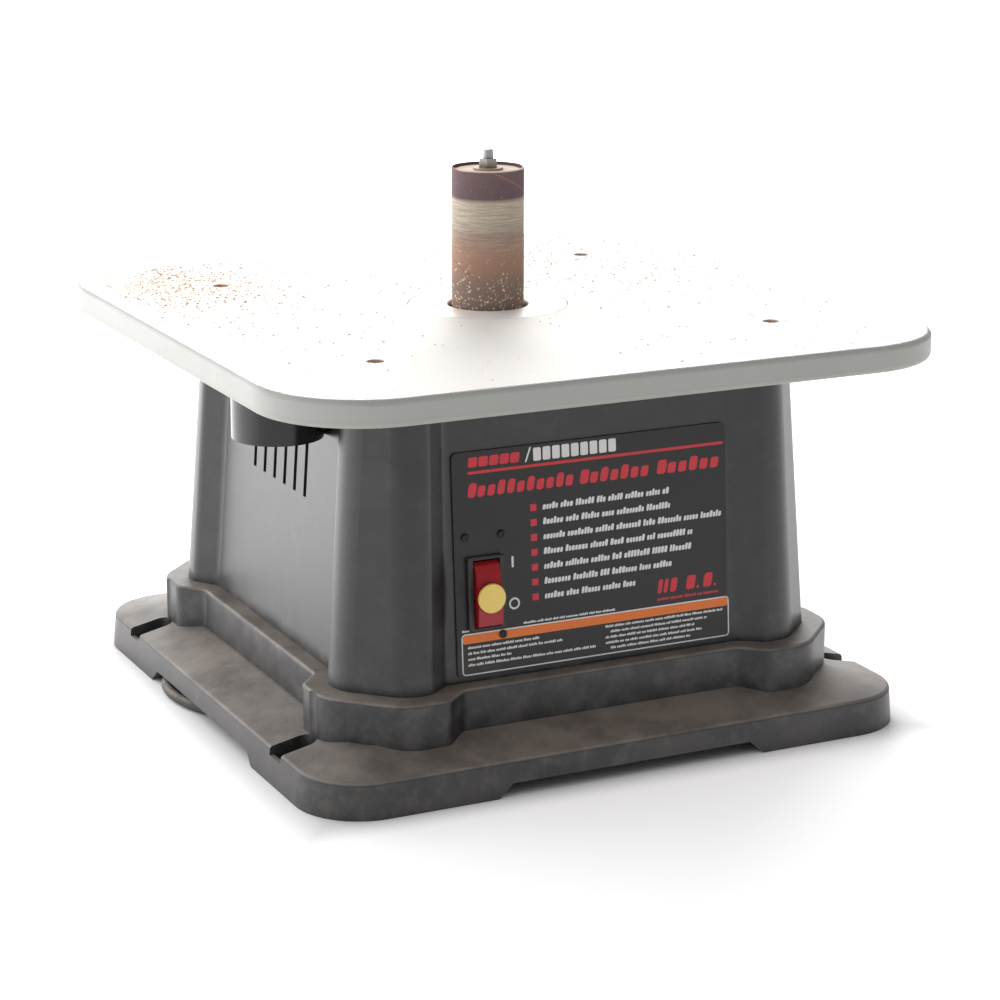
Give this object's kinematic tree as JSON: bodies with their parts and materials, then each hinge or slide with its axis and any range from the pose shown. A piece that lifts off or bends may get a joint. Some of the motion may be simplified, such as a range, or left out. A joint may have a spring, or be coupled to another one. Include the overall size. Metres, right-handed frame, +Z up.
{
  "type": "oscillating spindle sander",
  "caption": "Benchtop spindle sander: a square table on a moulded housing, with an upright drum that spins and strokes up and down, a paddle switch and a side dust port.",
  "frame": {"origin": "on the floor, in the plane of the base skirt's underside, directly below the spindle axis", "axes": "+X right along the front face that carries the switch panel, +Y to the back, +Z up along the spindle"},
  "size_m": [0.508, 0.6098, 0.404],
  "materials": {
    "housing_plastic": "fine moulded texture, dusty on the ledges",
    "board": "raw fibreboard",
    "laminate": "satin white with sawdust",
    "edge_band": "smooth grey-white",
    "screw_brown": "dusty, dulled",
    "insert_plastic": "satin off-white",
    "steel_plate": "satin black paint",
    "steel": "machined",
    "black_plastic": "smooth moulded",
    "port_plastic": "glossy moulded",
    "panel_film": "printed film",
    "screw_black": "black oxide",
    "paddle_red": "glossy moulded",
    "key_yellow": "satin moulded",
    "cast_aluminium": "die cast",
    "bronze": "sintered bronze",
    "bearing_steel": "ground",
    "motor_paint": "satin black paint",
    "lamination_steel": "stacked laminations",
    "copper": "varnished windings",
    "drum_rubber": "dull reddish rubber",
    "abrasive": "worn abrasive cloth",
    "nut_steel": "zinc plated",
    "crank_steel": "machined",
    "nylon": "turned nylon",
    "cord_rubber": "dull black",
    "plug_brass": "stamped"
  },
  "bodies": {
    "root": {"housing": "housing_plastic", "table_board": "board", "table_laminate": "laminate", "table_edge_band": "edge_band", "table_screws": "screw_brown", "mounting_plate": "steel_plate", "plate_screws": "steel", "guide_posts": "steel", "lower_bridge": "steel_plate", "bridge_nuts": "steel", "stroke_yoke": "steel", "dust_chamber": "black_plastic", "dust_port": "port_plastic", "front_panel": "panel_film", "switch_bezel": "black_plastic", "switch_body": "black_plastic", "switch_screws": "screw_black", "holder_rail": "black_plastic", "strain_relief": "cord_rubber", "power_cord": "cord_rubber", "cord_coil": "cord_rubber", "plug_body": "cord_rubber", "plug_blades": "plug_brass"},
    "table_insert": {"table_insert": "insert_plastic"},
    "accessory_holder": {"accessory_holder": "black_plastic"},
    "switch_paddle": {"switch_paddle": "paddle_red"},
    "switch_key": {"switch_key": "key_yellow"},
    "motor_carriage": {"top_end_bell": "cast_aluminium", "gear_end_bell": "cast_aluminium", "gearcase_cover": "cast_aluminium", "cover_screws": "steel", "guide_bushes": "bronze", "upper_bearing": "bearing_steel", "lower_bearing": "bearing_steel", "worm_end_bush": "bronze", "motor_shell": "motor_paint", "stator_core": "lamination_steel", "stator_windings": "copper", "motor_tie_bolts": "steel"},
    "spindle": {"spindle_shaft": "steel", "rotor_core": "lamination_steel", "rotor_end_rings": "cast_aluminium", "cooling_fan": "black_plastic", "drive_worm": "crank_steel", "drum_flange": "steel", "rubber_drum": "drum_rubber", "sanding_sleeve": "abrasive", "drum_washer": "steel", "spindle_nut": "nut_steel"},
    "worm_wheel": {"worm_wheel": "bronze", "wheel_shaft": "crank_steel"},
    "crank": {"crank_disc": "crank_steel", "crank_pin": "steel", "crank_roller": "nylon"}
  },
  "joints": [
    {"name": "spindle_stroke", "type": "slide", "parent": "root", "child": "motor_carriage", "axis": [0, 0, 1], "range_m": [-0.011, 0.011]},
    {"name": "spindle_spin", "type": "hinge", "parent": "motor_carriage", "child": "spindle", "pos_m": [0, 0, 0.2], "axis": [0, 0, 1], "continuous": true},
    {"name": "worm_wheel_spin", "type": "hinge", "parent": "motor_carriage", "child": "worm_wheel", "pos_m": [0, 0.02975, 0.074], "axis": [1, 0, 0], "continuous": true},
    {"name": "crank_turn", "type": "hinge", "parent": "motor_carriage", "child": "crank", "pos_m": [0.02, 0.02975, 0.074], "axis": [1, 0, 0], "range_deg": [-90.5, 90.5]},
    {"name": "switch_lever", "type": "hinge", "parent": "root", "child": "switch_paddle", "pos_m": [-0.0845, -0.1712, 0.14581], "axis": [-1, 0, 0], "range_deg": [0, 25]},
    {"name": "key_pull", "type": "slide", "parent": "switch_paddle", "child": "switch_key", "axis": [0, -0.9975, 0.0708], "range_m": [0, 0.025]},
    {"name": "insert_lift", "type": "slide", "parent": "root", "child": "table_insert", "axis": [0, 0, 1], "range_m": [0, 0.12]},
    {"name": "holder_lift", "type": "slide", "parent": "root", "child": "accessory_holder", "axis": [0, 0, 1], "range_m": [0, 0.025]}
  ],
  "couplings": [
    {"joint": "worm_wheel_spin", "follows": "spindle_spin", "ratio": 0.034483},
    {"joint": "crank_turn", "follows": "spindle_stroke", "rad_per_m": -142.8}
  ]
}
